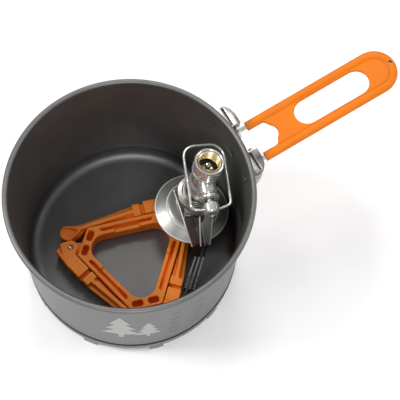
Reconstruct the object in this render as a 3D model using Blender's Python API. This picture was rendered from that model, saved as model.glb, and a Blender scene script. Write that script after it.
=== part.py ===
"""Nesting camp cook pot with a folding handle, holding its folded canister stabiliser and
its burner, which stands upside down on the stabiliser.

Frame: origin at the centre of the pot's bottom pad, +Z up, the handle along +X.  Metres.
"""
import math

import bmesh
import bpy
from mathutils import Matrix, Vector

MM = 0.001
GAP = 0.3 * MM                      # clearance between pieces that touch

# Pot, turned about Z
WALL_OUT = 62.7 * MM
WALL_IN = 61.8 * MM
RIM_BEAD = 1.5 * MM
RIM_CENTRE = 63.5 * MM              # radius to the middle of the rolled rim
RIM_HEIGHT = 86.9 * MM              # middle of the rolled rim
FLOOR_TOP = 1.4 * MM
PAD_RADIUS = 14.0 * MM
CORNER_OUT = 7.6 * MM
CORNER_IN = 6.6 * MM
TURN_STEPS = 60

# Heat exchanger and its guard ring
GROUND = -6.8 * MM                  # what the guard's tabs stand on
FIN_IN = 28.0 * MM
FIN_OUT = 58.5 * MM
FIN_HEIGHT = 5.0 * MM
FIN_SHEET = 0.6 * MM
FIN_FOLDS = 40
GUARD_OUT = 63.25 * MM
GUARD_IN = 62.55 * MM
GUARD_LIP = 59.2 * MM
GUARD_LOW = -0.8 * MM
GUARD_HIGH = 5.2 * MM
TAB_COUNT = 10
TAB_ANGLE = math.radians(7.5)
TAB_FIRST = math.radians(3.0)       # azimuth of the first tab

# Handle: hinge axis along Y through HINGE, the sleeve's plane lies CRANK below it
HINGE = Vector((68.3, 0.0, 81.2)) * MM
HANDLE_RISE = math.radians(12.5)
CRANK = 12.9 * MM
WIRE_RADIUS = 1.25 * MM
ARM_HALF = 6.6 * MM                 # arms' distance from the middle, beside the knuckles
WIRE_HALF = 10.4 * MM               # the same, inside the sleeve
PIN_END = 17.3 * MM
SPREAD_END = 1.4 * MM               # where the arms reach their full spread
SLEEVE_START = 6.3 * MM             # along the handle, from below the hinge
SLEEVE_LENGTH = 76.2 * MM           # to the centre of the round end
RAIL_RADIUS = 2.7 * MM
TUNNEL_RADIUS = 1.55 * MM
WEB_THICK = 2.2 * MM
NOTCH_END = 12.0 * MM
SLOT_START = 26.0 * MM
SLOT_END = 72.0 * MM
SLOT_HALF = 7.3 * MM

# Bracket that carries the handle, and its rivets as (azimuth in degrees, height)
PLATE_OUT = 64.1 * MM
PLATE_ANGLE = math.radians(22.0)
PLATE_LOW = 68.0 * MM
PLATE_HIGH = 84.0 * MM
KNUCKLE_LOW = 71.9 * MM
KNUCKLE_IN = 8.3 * MM
BORE_RADIUS = 1.55 * MM
RIVETS = {"upper": (17.5, 75.9 * MM), "middle": (0.0, 71.3 * MM), "lower": (-17.5, 75.9 * MM)}
RIVET_SHANK = 1.5 * MM
RIVET_HEAD = 2.5 * MM
RIVET_DOME = 0.5 * MM                # height of each head

# Stabiliser: a triangular hub and three legs folded along its sides
HUB_CENTRE = Vector((-4.3, -10.0)) * MM
HUB_TURN = math.radians(135.8)      # azimuth of its first corner
HUB_LOW = 1.8 * MM
HUB_HIGH = 12.7 * MM
HUB_SIDE = 23.8 * MM                # centre to an outer side
HUB_OPEN = 17.5 * MM                # centre to a side of the opening
HUB_CORNER = 32.0 * MM              # centre to a cut-off corner
LEG_PIN = Vector((37.6, 5.4)) * MM  # pivot, from the centre, in a corner's own frame
LEG_LENGTH = 65.0 * MM
FOOT_RADIUS = 4.6 * MM
LEG_LOW = 4.4 * MM
LEG_WEB = 9.6 * MM
PIN_RADIUS = 1.2 * MM
LUG_LOW = 4.8 * MM
LUG_HIGH = 9.6 * MM

# Burner, in its own frame: Z runs from the flame side up to the canister socket
BURNER_SEAT = Vector((37.99, -1.83, 13.4)) * MM
BURNER_LEAN = math.radians(6.4)
BURNER_LEAN_TO = math.radians(-6.7)
BURNER_TURN = math.radians(-19.0)
HEAD_RADIUS = 22.3 * MM
HEAD_LOW = 4.7 * MM
TUBE_OUT = 7.0 * MM
TUBE_IN = 6.1 * MM
COLLAR_RADIUS = 12.0 * MM
COLLAR_LOW = 27.0 * MM
STEM_HEIGHT = 51.6 * MM
KNOB_CROSS = -20.6 * MM             # where the control loop's ends enter the knob
LOOP_RADIUS = 0.8 * MM
SOCKET_RADIUS = 8.2 * MM
SOCKET_LOW = 57.0 * MM
SOCKET_HIGH = 68.3 * MM

# Pot supports: bent sheet, hung on pivot pins along the burner's X, under its collar
PIVOT_Y = -11.3 * MM
PIVOT_HEIGHT = 24.4 * MM
PIVOT_PIN = 0.7 * MM
EYE_RADIUS = 1.6 * MM
LUG_SHEET = 0.8 * MM
SUPPORT_SHEET = 0.9 * MM
BLADE_HALF = 2.4 * MM
SUPPORT_EYES = {"left": (-6.0 * MM, 2.2 * MM), "middle": (-0.7 * MM, 0.45 * MM), "right": (5.0 * MM, 2.7 * MM)}
SUPPORT_SHAPES = {
    # name: (arm's corners from its pivot to its tip, blade start, blade bend, blade tip), in mm
    "left": (((-12.4, 5.0, 24.4), (-4.4, -11.3, 24.4), (-1.6, -24.8, 8.8), (-4.2, -24.4, 7.0)),
             (-2.8, -24.3, 6.9), (-2.2, -29.0, -0.6), (-10.4, -45.6, -8.2)),
    "middle": (((-0.7, -10.0, 23.4), (-0.7, -12.6, 25.4), (0.5, -25.5, 9.0), (0.5, -22.9, 7.0)),
               (0.6, -24.3, 6.9), (0.2, -29.3, -0.9), (-8.0, -46.6, -8.4)),
    "right": (((2.4, -11.3, 24.4), (7.6, -11.3, 24.4), (6.4, -24.4, 7.6), (3.4, -24.6, 7.0),
               (1.0, -15.0, 19.6), (2.4, -13.4, 21.7)),
              (4.4, -24.5, 6.9), (2.6, -29.6, -1.2), (-5.6, -47.4, -8.6)),
}


def clear_scene():
    for item in list(bpy.data.objects):
        bpy.data.objects.remove(item, do_unlink=True)


def material(name, colour, roughness, metallic):
    finish = bpy.data.materials.get(name)
    if finish is None:
        finish = bpy.data.materials.new(name)
        finish.use_nodes = True
        shader = finish.node_tree.nodes["Principled BSDF"]
        shader.inputs["Base Color"].default_value = (*colour, 1.0)
        shader.inputs["Roughness"].default_value = roughness
        shader.inputs["Metallic"].default_value = metallic
    return finish


def anodised():
    return material("hard_anodised", (0.12, 0.12, 0.12), 0.42, 0.8)


def aluminium():
    return material("bare_aluminium", (0.62, 0.62, 0.60), 0.4, 1.0)


def steel():
    return material("stainless_steel", (0.70, 0.69, 0.66), 0.22, 1.0)


def brass():
    return material("brass", (0.80, 0.58, 0.26), 0.25, 1.0)


def silicone():
    return material("orange_silicone", (0.88, 0.27, 0.02), 0.5, 0.0)


def nylon():
    return material("orange_nylon", (0.80, 0.22, 0.03), 0.45, 0.0)


def seal_rubber():
    return material("black_rubber", (0.02, 0.02, 0.02), 0.6, 0.0)


def add_object(name, shape, finish=None, smooth=40.0):
    """Make an object from a bmesh, with every face turned outwards."""
    bmesh.ops.recalc_face_normals(shape, faces=shape.faces)
    mesh = bpy.data.meshes.new(name)
    shape.to_mesh(mesh)
    shape.free()
    mesh.shade_smooth()
    mesh.set_sharp_from_angle(angle=math.radians(smooth))
    result = bpy.data.objects.new(name, mesh)
    bpy.context.scene.collection.objects.link(result)
    if finish is not None:
        mesh.materials.append(finish)
    return result


def cutter(name, shape):
    """A guide object that only feeds Boolean modifiers."""
    result = add_object(name, shape)
    result.hide_render = True
    result.display_type = "WIRE"
    return result


def combine(target, other, operation):
    step = target.modifiers.new(operation.title(), "BOOLEAN")
    step.operation = operation
    step.solver = "EXACT"
    step.object = other


def cut(target, *tools):
    for tool in tools:
        combine(target, tool, "DIFFERENCE")


def join(target, *tools):
    for tool in tools:
        combine(target, tool, "UNION")


def lathe(profile, steps=32, closed=False):
    """Turn (radius, height) points about Z; open profiles start and end on the axis."""
    shape = bmesh.new()
    rings = []
    for radius, height in profile:
        if radius < 1e-9:
            rings.append([shape.verts.new((0.0, 0.0, height))])
            continue
        ring = []
        for step in range(steps):
            angle = math.tau * step / steps
            ring.append(shape.verts.new((radius * math.cos(angle), radius * math.sin(angle), height)))
        rings.append(ring)
    pairs = list(zip(rings, rings[1:]))
    if closed:
        pairs.append((rings[-1], rings[0]))
    for low, high in pairs:
        for step in range(steps):
            after = (step + 1) % steps
            corners = [low[step % len(low)], low[after % len(low)],
                       high[after % len(high)], high[step % len(high)]]
            shape.faces.new(list(dict.fromkeys(corners)))
    return shape


def prism(outline, low, high):
    """Extrude a flat outline of (x, y) points from one height to another."""
    shape = bmesh.new()
    base = [shape.verts.new((x, y, low)) for x, y in outline]
    top = [shape.verts.new((x, y, high)) for x, y in outline]
    shape.faces.new(base)
    shape.faces.new(top)
    for index in range(len(base)):
        after = (index + 1) % len(base)
        shape.faces.new((base[index], base[after], top[after], top[index]))
    return shape


def box(low, high):
    outline = ((low[0], low[1]), (high[0], low[1]), (high[0], high[1]), (low[0], high[1]))
    return prism(outline, low[2], high[2])


def slab(corners, thickness):
    """A flat plate over an outline in space, half its thickness to each side."""
    shape = bmesh.new()
    corners = [Vector(corner) for corner in corners]
    normal = (corners[1] - corners[0]).cross(corners[3] - corners[0]).normalized()
    offset = normal * thickness / 2
    near = [shape.verts.new(corner - offset) for corner in corners]
    far = [shape.verts.new(corner + offset) for corner in corners]
    shape.faces.new(near)
    shape.faces.new(far)
    for index in range(len(near)):
        after = (index + 1) % len(near)
        shape.faces.new((near[index], near[after], far[after], far[index]))
    return shape


def moved(shape, matrix):
    bmesh.ops.transform(shape, matrix=matrix, verts=shape.verts)
    return shape


def arc(centre, radius, start, end, steps):
    """Points on an arc in the plane, angles in degrees."""
    points = []
    for step in range(steps + 1):
        angle = math.radians(start + (end - start) * step / steps)
        points.append((centre[0] + radius * math.cos(angle), centre[1] + radius * math.sin(angle)))
    return points


def rounded(points, radii, steps=3, closed=False):
    """Replace the corners of a path with arcs, of one radius or of one for each corner."""
    points = [Vector(point) for point in points]
    count = len(points)
    if isinstance(radii, float):
        radii = [radii] * count
    result = []
    for index, corner in enumerate(points):
        if not closed and index in (0, count - 1):
            result.append(corner)
            continue
        back = (points[index - 1] - corner).normalized()
        ahead = (points[(index + 1) % count] - corner).normalized()
        half = back.angle(ahead) / 2
        if half > math.radians(89.0):
            result.append(corner)
            continue
        reach = radii[index] / math.tan(half)
        centre = corner + (back + ahead).normalized() * radii[index] / math.sin(half)
        start = corner + back * reach - centre
        end = corner + ahead * reach - centre
        turn = start.angle(end)
        for step in range(steps + 1):
            part = step / steps
            blend = start * math.sin((1 - part) * turn) + end * math.sin(part * turn)
            result.append(centre + blend / math.sin(turn))
    return result


def sweep(path, radius, sides=8):
    """A round bar along a path in space, with flat ends."""
    shape = bmesh.new()
    path = [Vector(point) for point in path]
    side = None
    rings = []
    for index, point in enumerate(path):
        before = path[max(index - 1, 0)]
        after = path[min(index + 1, len(path) - 1)]
        along = ((after - point).normalized() + (point - before).normalized()).normalized()
        if side is None:
            side = along.orthogonal().normalized()
        side = (side - along * side.dot(along)).normalized()
        other = along.cross(side)
        ring = []
        for step in range(sides):
            angle = math.tau * (step + 0.5) / sides
            offset = side * math.cos(angle) + other * math.sin(angle)
            ring.append(shape.verts.new(point + offset * radius))
        rings.append(ring)
    for low, high in zip(rings, rings[1:]):
        for step in range(sides):
            after = (step + 1) % sides
            shape.faces.new((low[step], low[after], high[after], high[step]))
    shape.faces.new(rings[0])
    shape.faces.new(rings[-1])
    return shape


def bar(start, end, radius, sides=16):
    return sweep((start, end), radius, sides)


def make_pot_shell():
    corner = (WALL_OUT - CORNER_OUT, 0.3 * MM + CORNER_OUT)
    hollow = (WALL_IN - CORNER_IN, FLOOR_TOP + CORNER_IN)
    bead = (RIM_CENTRE, RIM_HEIGHT)
    profile = [(0.0, 0.0), (PAD_RADIUS, 0.0), (PAD_RADIUS + 0.3 * MM, 0.3 * MM)]
    profile += arc(corner, CORNER_OUT, -90, 0, 5)
    profile += [(WALL_OUT, RIM_HEIGHT - 2.3 * MM)]
    profile += arc(bead, RIM_BEAD, -60, 180, 8)
    profile += [(WALL_IN, RIM_HEIGHT - 1.6 * MM)]
    profile += arc(hollow, CORNER_IN, 0, -90, 5)
    profile += [(0.0, FLOOR_TOP)]
    pot = add_object("pot_shell", lathe(profile, TURN_STEPS), anodised())
    for name, (azimuth, height) in RIVETS.items():
        outward = Vector((math.cos(math.radians(azimuth)), math.sin(math.radians(azimuth)), 0.0))
        hole = bar(outward * 58 * MM + Vector((0, 0, height)), outward * 68 * MM + Vector((0, 0, height)),
                   RIVET_SHANK + GAP, 12)
        cut(pot, cutter(f"pot_hole_{name}", hole))
    return pot


def make_heat_exchanger():
    """One strip folded in and out around the pot's underside."""
    outer = []
    inner = []
    for fold in range(FIN_FOLDS):
        pitch = math.tau / FIN_FOLDS
        for part, radius in ((0.06, FIN_OUT), (0.44, FIN_OUT), (0.56, FIN_IN), (0.94, FIN_IN)):
            angle = pitch * (fold + part)
            half = FIN_SHEET / 2
            shift = half / radius * (1 if part in (0.06, 0.94) else -1)
            outer.append(((radius + half) * math.cos(angle - shift), (radius + half) * math.sin(angle - shift)))
            inner.append(((radius - half) * math.cos(angle + shift), (radius - half) * math.sin(angle + shift)))
    shape = bmesh.new()
    rings = []
    for points, height in ((outer, 0.0), (outer, -FIN_HEIGHT), (inner, -FIN_HEIGHT), (inner, 0.0)):
        rings.append([shape.verts.new((x, y, height)) for x, y in points])
    for low, high in zip(rings, rings[1:] + rings[:1]):
        for index in range(len(low)):
            after = (index + 1) % len(low)
            shape.faces.new((low[index], low[after], high[after], high[index]))
    return add_object("heat_exchanger", shape, aluminium(), smooth=20.0)


def make_guard_ring():
    """A band round the pot's foot with tabs that the whole pot stands on."""
    section = [(GUARD_OUT, GUARD_HIGH), (GUARD_OUT, GUARD_LOW), (GUARD_IN, GUARD_LOW),
               (GUARD_LIP, GUARD_LOW), (GUARD_LIP, 0.0), (GUARD_IN, 0.0), (GUARD_IN, GUARD_HIGH)]
    stations = []
    for tab in range(TAB_COUNT):
        middle = TAB_FIRST + math.tau * tab / TAB_COUNT
        stations += [(middle - TAB_ANGLE / 2, True), (middle, True)]
        rest = math.tau / TAB_COUNT - TAB_ANGLE
        stations += [(middle + TAB_ANGLE / 2 + rest * part / 4, False) for part in range(4)]
    shape = bmesh.new()
    rings = []
    for angle, _ in stations:
        rings.append([shape.verts.new((r * math.cos(angle), r * math.sin(angle), z)) for r, z in section])
    tab_faces = []
    for index, ring in enumerate(rings):
        following = rings[(index + 1) % len(rings)]
        for edge in range(len(section)):
            after = (edge + 1) % len(section)
            face = shape.faces.new((ring[edge], ring[after], following[after], following[edge]))
            if edge == 1 and stations[index][1]:
                tab_faces.append(face)
    extruded = bmesh.ops.extrude_face_region(shape, geom=tab_faces)
    fresh = [item for item in extruded["geom"] if isinstance(item, bmesh.types.BMVert)]
    bmesh.ops.translate(shape, verts=fresh, vec=(0.0, 0.0, GROUND - GUARD_LOW))
    bmesh.ops.delete(shape, geom=tab_faces, context="FACES_ONLY")
    return add_object("guard_ring", shape, anodised())


def make_bracket():
    """A curved plate with two knuckles that the handle's ends turn in."""
    steps = 12
    outline = []
    for radius, direction in ((PLATE_OUT, 1), (WALL_OUT + GAP, -1)):
        for step in range(steps + 1):
            angle = direction * PLATE_ANGLE * (2 * step / steps - 1)
            outline.append((radius * math.cos(angle), radius * math.sin(angle)))
    bracket = add_object("handle_bracket", prism(outline, PLATE_LOW, PLATE_HIGH), steel())
    inner_wall = cutter("bracket_inner", lathe([(0.0, 60 * MM), (WALL_OUT + GAP, 60 * MM),
                                                (WALL_OUT + GAP, 95 * MM), (0.0, 95 * MM)], 120))
    for name, side in (("upper", 1), ("lower", -1)):
        knuckle = [(60.0, 8.3), (69.9, 8.3), (70.9, 9.4), (70.9, 14.5), (69.8, 18.5), (67.6, 21.2),
                   (64.5, 22.6), (58.0, 22.6)]
        outline = [(x * MM, side * y * MM) for x, y in knuckle]
        join(bracket, cutter(f"knuckle_{name}", prism(outline, KNUCKLE_LOW, PLATE_HIGH)))
        pocket = [(60.0, 7.0), (69.6, 7.0), (69.6, 14.2), (68.6, 17.9), (66.4, 20.2), (60.0, 24.0)]
        outline = [(x * MM, side * y * MM) for x, y in pocket]
        hollow = cutter(f"pocket_{name}", prism(outline, KNUCKLE_LOW + 1.0 * MM, 78.9 * MM))
        plate_guard = cutter(f"pocket_plate_{name}", lathe([(0.0, 70 * MM), (PLATE_OUT, 70 * MM),
                                                           (PLATE_OUT, 80 * MM), (0.0, 80 * MM)], 120))
        cut(hollow, plate_guard)
        bore = cutter(f"bore_{name}", bar(HINGE + Vector((0, side * 7 * MM, 0)),
                                          HINGE + Vector((0, side * 18.2 * MM, 0)), BORE_RADIUS, 12))
        cut(bracket, hollow, bore)
    cut(bracket, inner_wall)
    for name, (azimuth, height) in RIVETS.items():
        outward = Vector((math.cos(math.radians(azimuth)), math.sin(math.radians(azimuth)), 0.0))
        hole = bar(outward * 60 * MM + Vector((0, 0, height)), outward * 65 * MM + Vector((0, 0, height)),
                   RIVET_SHANK + GAP, 12)
        cut(bracket, cutter(f"bracket_hole_{name}", hole))
    return bracket


def make_rivet(name, azimuth, height):
    """Shank through pot wall and bracket, with a low dome at each end."""
    inner = WALL_IN - GAP
    outer = PLATE_OUT + GAP
    profile = [(0.0, inner - RIVET_DOME), (1.6 * MM, inner - RIVET_DOME), (RIVET_HEAD, inner - 0.1 * MM),
               (RIVET_HEAD - 0.1 * MM, inner), (RIVET_SHANK, inner), (RIVET_SHANK, outer),
               (RIVET_HEAD - 0.1 * MM, outer), (RIVET_HEAD, outer + 0.1 * MM),
               (1.6 * MM, outer + RIVET_DOME), (0.0, outer + RIVET_DOME)]
    rivet = add_object(f"rivet_{name}", lathe(profile, 12), anodised())
    turn = Matrix.Rotation(math.radians(azimuth), 4, "Z") @ Matrix.Rotation(math.radians(90), 4, "Y")
    rivet.matrix_world = Matrix.Translation((0, 0, height)) @ turn
    return rivet


def handle_frame():
    """Matrix from the handle's own frame (x along it, y across, z up) to the pot's."""
    foot = HINGE + Vector((math.sin(HANDLE_RISE), 0.0, -math.cos(HANDLE_RISE))) * CRANK
    return Matrix.Translation(foot) @ Matrix.Rotation(-HANDLE_RISE, 4, "Y")


def handle_path(half, start, end, steps=16):
    """The U that wire and sleeve share, in the handle's frame."""
    path = [Vector((start, half, 0.0))]
    for x, y in arc((end, 0.0), half, 90, -90, steps):
        path.append(Vector((x, y, 0.0)))
    path.append(Vector((start, -half, 0.0)))
    return path


def make_handle_wire():
    tip = SLEEVE_START + SLEEVE_LENGTH
    loop = handle_path(WIRE_HALF, SLEEVE_START, tip)
    inverse = handle_frame().inverted()
    ends = []
    for side in (1, -1):
        pin = inverse @ (HINGE + Vector((0, side * PIN_END, 0)))
        shoulder = inverse @ (HINGE + Vector((0, side * ARM_HALF, 0)))
        ends.append([pin, shoulder, Vector((0.0, side * ARM_HALF, 0.0)),
                     Vector((SPREAD_END, side * WIRE_HALF, 0.0)), loop[0] if side > 0 else loop[-1]])
    first = rounded(ends[0], 1.9 * MM, 3)
    last = list(reversed(rounded(ends[1], 1.9 * MM, 3)))
    wire = add_object("handle_wire", sweep(first[:-1] + loop + last[1:], WIRE_RADIUS, 8), steel())
    wire.matrix_world = handle_frame()
    return wire


def make_handle_sleeve():
    tip = SLEEVE_START + SLEEVE_LENGTH
    path = handle_path(WIRE_HALF, SLEEVE_START, tip, 12)
    sleeve = add_object("handle_sleeve", sweep(path, RAIL_RADIUS, 10), silicone())
    web = [(SLEEVE_START + NOTCH_END - 5 * MM, WIRE_HALF), (SLEEVE_START + NOTCH_END, 6.0 * MM),
           (SLEEVE_START + NOTCH_END + 0.8 * MM, 0.0), (SLEEVE_START + NOTCH_END, -6.0 * MM),
           (SLEEVE_START + NOTCH_END - 5 * MM, -WIRE_HALF)]
    web += arc((tip, 0.0), WIRE_HALF, -90, 90, 12)
    join(sleeve, cutter("sleeve_web", prism(web, -WEB_THICK / 2, WEB_THICK / 2)))
    tunnel = handle_path(WIRE_HALF, SLEEVE_START - 3 * MM, tip, 12)
    slot_in = SLEEVE_START + SLOT_START + SLOT_HALF
    slot_out = SLEEVE_START + SLOT_END - SLOT_HALF
    slot = arc((slot_in, 0.0), SLOT_HALF, 90, 270, 8) + arc((slot_out, 0.0), SLOT_HALF, -90, 90, 8)
    cut(sleeve, cutter("sleeve_tunnel", sweep(tunnel, TUNNEL_RADIUS, 8)),
        cutter("sleeve_slot", prism(slot, -4 * MM, 4 * MM)),
        cutter("sleeve_vent", bar((tip + WIRE_HALF, 0, 0.5 * MM), (tip + WIRE_HALF, 0, 5 * MM), 1.0 * MM, 8)))
    for part in [sleeve] + [step.object for step in sleeve.modifiers]:
        part.matrix_world = handle_frame()
    return sleeve


def corner_frame(index):
    """A hub corner's frame: x from the hub's centre out through the corner."""
    place = Matrix.Translation((HUB_CENTRE.x, HUB_CENTRE.y, 0.0))
    return place @ Matrix.Rotation(HUB_TURN + math.tau * index / 3, 4, "Z")


def leg_frame(index):
    """A leg's frame: origin on its pivot, x along the folded leg, y towards the hub."""
    pivot = Matrix.Translation((LEG_PIN.x, LEG_PIN.y, 0.0))
    return corner_frame(index) @ pivot @ Matrix.Rotation(math.radians(150), 4, "Z")


def make_hub():
    half_cut = (2 * HUB_SIDE - HUB_CORNER) * math.tan(math.radians(30))
    outer = []
    opening = []
    for index in range(3):
        turn = Matrix.Rotation(math.tau * index / 3, 2)
        for side in (-1, 1):
            outer.append(tuple(turn @ Vector((HUB_CORNER, side * half_cut))))
        middle = HUB_OPEN * 2 - 2 * 9.0 * MM
        for x, y in arc((middle, 0.0), 9.0 * MM, -60, 60, 6):
            opening.append(tuple(turn @ Vector((x, y))))
    outer = rounded([(x, y, 0) for x, y in outer], 1.2 * MM, 2, closed=True)
    hub = add_object("stabiliser_hub", prism([(p.x, p.y) for p in outer], HUB_LOW, HUB_HIGH), nylon())
    tools = [cutter("hub_opening", prism(opening, HUB_LOW - MM, HUB_HIGH + MM))]
    for index in range(3):
        turn = Matrix.Rotation(math.tau * index / 3, 4, "Z")
        pin = LEG_PIN
        lug = [(HUB_CORNER - 1 * MM, pin.y - 5.5 * MM), (HUB_CORNER + 1 * MM, pin.y - 5.5 * MM)]
        lug += arc(pin, 3.9 * MM, -75, 90, 8) + [(HUB_CORNER - 1 * MM, pin.y + 3.0 * MM)]
        join(hub, cutter(f"hub_lug_{index}", moved(prism(lug, LUG_LOW, LUG_HIGH), turn)))
        hole = bar((pin.x, pin.y, 0), (pin.x, pin.y, 15 * MM), PIN_RADIUS + GAP, 12)
        tools.append(cutter(f"hub_pin_hole_{index}", moved(hole, turn)))
        for side in (-1, 1):
            middle = side * 4.75 * MM
            pocket = rounded([(27.1 * MM, middle - 3.2 * MM, 0), (30.5 * MM, middle - 3.0 * MM, 0),
                              (30.5 * MM, middle + 3.0 * MM, 0), (27.1 * MM, middle + 3.2 * MM, 0)],
                             1.2 * MM, 2, closed=True)
            shape = prism([(p.x, p.y) for p in pocket], HUB_LOW + 3.5 * MM, HUB_HIGH + MM)
            tools.append(cutter(f"hub_pocket_{index}_{side}", moved(shape, turn)))
        away = turn @ Matrix.Rotation(math.radians(60), 4, "Z")
        groove = box((20.0 * MM, -15 * MM, HUB_HIGH - 2.2 * MM), (21.4 * MM, 15 * MM, HUB_HIGH + MM))
        channel = box((22.6 * MM, -15 * MM, LUG_LOW), (25 * MM, 15 * MM, LUG_HIGH))
        tools.append(cutter(f"hub_groove_{index}", moved(groove, away)))
        tools.append(cutter(f"hub_channel_{index}", moved(channel, away)))
    cut(hub, *tools)
    for part in [hub] + [step.object for step in hub.modifiers]:
        part.matrix_world = corner_frame(0)
    return hub


def make_leg(index, name):
    """A folding leg: forked head, two steps for canister rims, ribbed beam, round foot."""
    outline = arc((0.0, 0.0), 4.4 * MM, 15, 175, 7)
    outline += [(-5.8 * MM, -2.3 * MM), (-3.8 * MM, -7.9 * MM), (9.0 * MM, -9.2 * MM), (9.0 * MM, -0.8 * MM),
                (5.0 * MM, -0.8 * MM)]
    leg = add_object(f"stabiliser_leg_{name}", prism(outline, HUB_LOW, HUB_HIGH), nylon())
    beam = [(8.0 * MM, -0.8 * MM), (8.0 * MM, -9.2 * MM), (24 * MM, -8.6 * MM), (55 * MM, -4.4 * MM),
            (64 * MM, -4.2 * MM), (64 * MM, 4.2 * MM), (58 * MM, 2.4 * MM), (54 * MM, -0.8 * MM)]
    rib = [(20 * MM, -6.1 * MM), (62 * MM, -1.9 * MM), (62 * MM, 0.3 * MM), (20 * MM, -3.7 * MM)]
    foot = arc((LEG_LENGTH, 0.0), FOOT_RADIUS, -125, 125, 10)
    foot += [(57.3 * MM, 0.7 * MM), (56.7 * MM, -3.3 * MM)]
    tools = [prism(beam, LEG_LOW, LEG_WEB), prism(rib, LEG_LOW + 0.5 * MM, HUB_HIGH - 0.3 * MM),
             prism(foot, LEG_LOW - 0.4 * MM, HUB_HIGH - 0.6 * MM),
             box((9.4 * MM, -9.0 * MM, LEG_LOW - MM), (17.2 * MM, -1.0 * MM, HUB_HIGH + 0.4 * MM)),
             box((19.4 * MM, -8.5 * MM, LEG_LOW - MM), (24.2 * MM, -0.9 * MM, HUB_HIGH - 0.2 * MM))]
    guides = [cutter(f"leg_{name}_part_{number}", shape) for number, shape in enumerate(tools)]
    join(leg, *guides)
    fork = prism([(-8 * MM, -6.4 * MM), (7.6 * MM, -6.4 * MM), (7.6 * MM, 7 * MM), (-8 * MM, 7 * MM)],
                 LUG_LOW - GAP, LUG_HIGH + GAP)
    hole = bar((0, 0, 0), (0, 0, 15 * MM), PIN_RADIUS + GAP, 12)
    cut(leg, cutter(f"leg_{name}_fork", fork), cutter(f"leg_{name}_hole", hole))
    for part in [leg] + [step.object for step in leg.modifiers]:
        part.matrix_world = leg_frame(index)
    return leg


def make_leg_pin(index, name):
    profile = [(0.0, HUB_LOW + 0.4 * MM), (PIN_RADIUS, HUB_LOW + 0.4 * MM), (PIN_RADIUS, HUB_HIGH),
               (PIN_RADIUS - 0.3 * MM, HUB_HIGH + 0.3 * MM), (0.0, HUB_HIGH + 0.3 * MM)]
    pin = add_object(f"leg_pin_{name}", lathe(profile, 12), steel())
    pin.matrix_world = leg_frame(index)
    return pin


def burner_frame():
    towards = Matrix.Rotation(BURNER_LEAN_TO, 4, "Z")
    lean = towards @ Matrix.Rotation(BURNER_LEAN, 4, "Y") @ towards.inverted()
    return Matrix.Translation(BURNER_SEAT) @ lean @ Matrix.Rotation(BURNER_TURN, 4, "Z")


def place_burner_part(*parts):
    for part in parts:
        for item in [part] + [step.object for step in part.modifiers if step.type == "BOOLEAN"]:
            item.matrix_world = burner_frame()


def turned_ring(points, steps=24):
    return lathe([(r * MM, z * MM) for r, z in points], steps, closed=True)


def turned_solid(points, steps=24):
    return lathe([(r * MM, z * MM) for r, z in points], steps)


def make_burner_head():
    """The wide cup round the flame, its rolled edge down."""
    lip = HEAD_RADIUS / MM
    low = HEAD_LOW / MM
    bore = TUBE_OUT / MM + 0.4
    outside = [(lip - 0.8, low), (lip, low + 0.6), (lip, low + 1.5), (lip - 0.8, low + 2.2), (16.2, low + 5.3),
               (15.6, low + 6.2), (13.6, low + 7.7), (11.6, low + 10.3), (10.8, low + 11.2), (bore, low + 11.7)]
    inside = [(bore, low + 10.7), (10.3, low + 10.3), (10.8, low + 9.6), (12.9, low + 6.8), (15.2, low + 4.9),
              (18.2, low + 3.4), (20.6, low + 1.8)]
    head = add_object("burner_head", turned_ring(outside + inside, 32), steel())
    place_burner_part(head)


def make_flame_disc():
    """Dished cap over the mixing tube's end; the upturned burner stands on it."""
    profile = [(0.0, -0.6), (6.0, -0.3), (9.8, 2.0), (10.9, 4.4), (10.4, 5.0), (9.0, 3.2), (5.6, 0.9), (0.0, 0.7)]
    disc = add_object("flame_disc", turned_solid(profile), steel())
    place_burner_part(disc)


def make_mixing_tube():
    outer = TUBE_OUT / MM
    inner = TUBE_IN / MM
    tube = add_object("mixing_tube", turned_ring([(outer, 2.2), (outer, 36.0), (inner, 36.0), (inner, 2.2)]),
                      steel())
    for side in (0, 1):
        angle = math.radians(35 + 90 * side)
        reach = Vector((math.cos(angle), math.sin(angle), 0)) * 9 * MM
        height = Vector((0, 0, 33.0 * MM))
        cut(tube, cutter(f"air_hole_{side}", bar(height - reach, height + reach, 1.7 * MM, 8)))
    place_burner_part(tube)


def pivot_bar(centre, half, radius, sides):
    """A round bar on the pot supports' pivot line."""
    place = Vector((0.0, PIVOT_Y, PIVOT_HEIGHT))
    reach = Vector((half, 0.0, 0.0))
    middle = place + Vector((centre, 0.0, 0.0))
    return bar(middle - reach, middle + reach, radius, sides)


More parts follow.
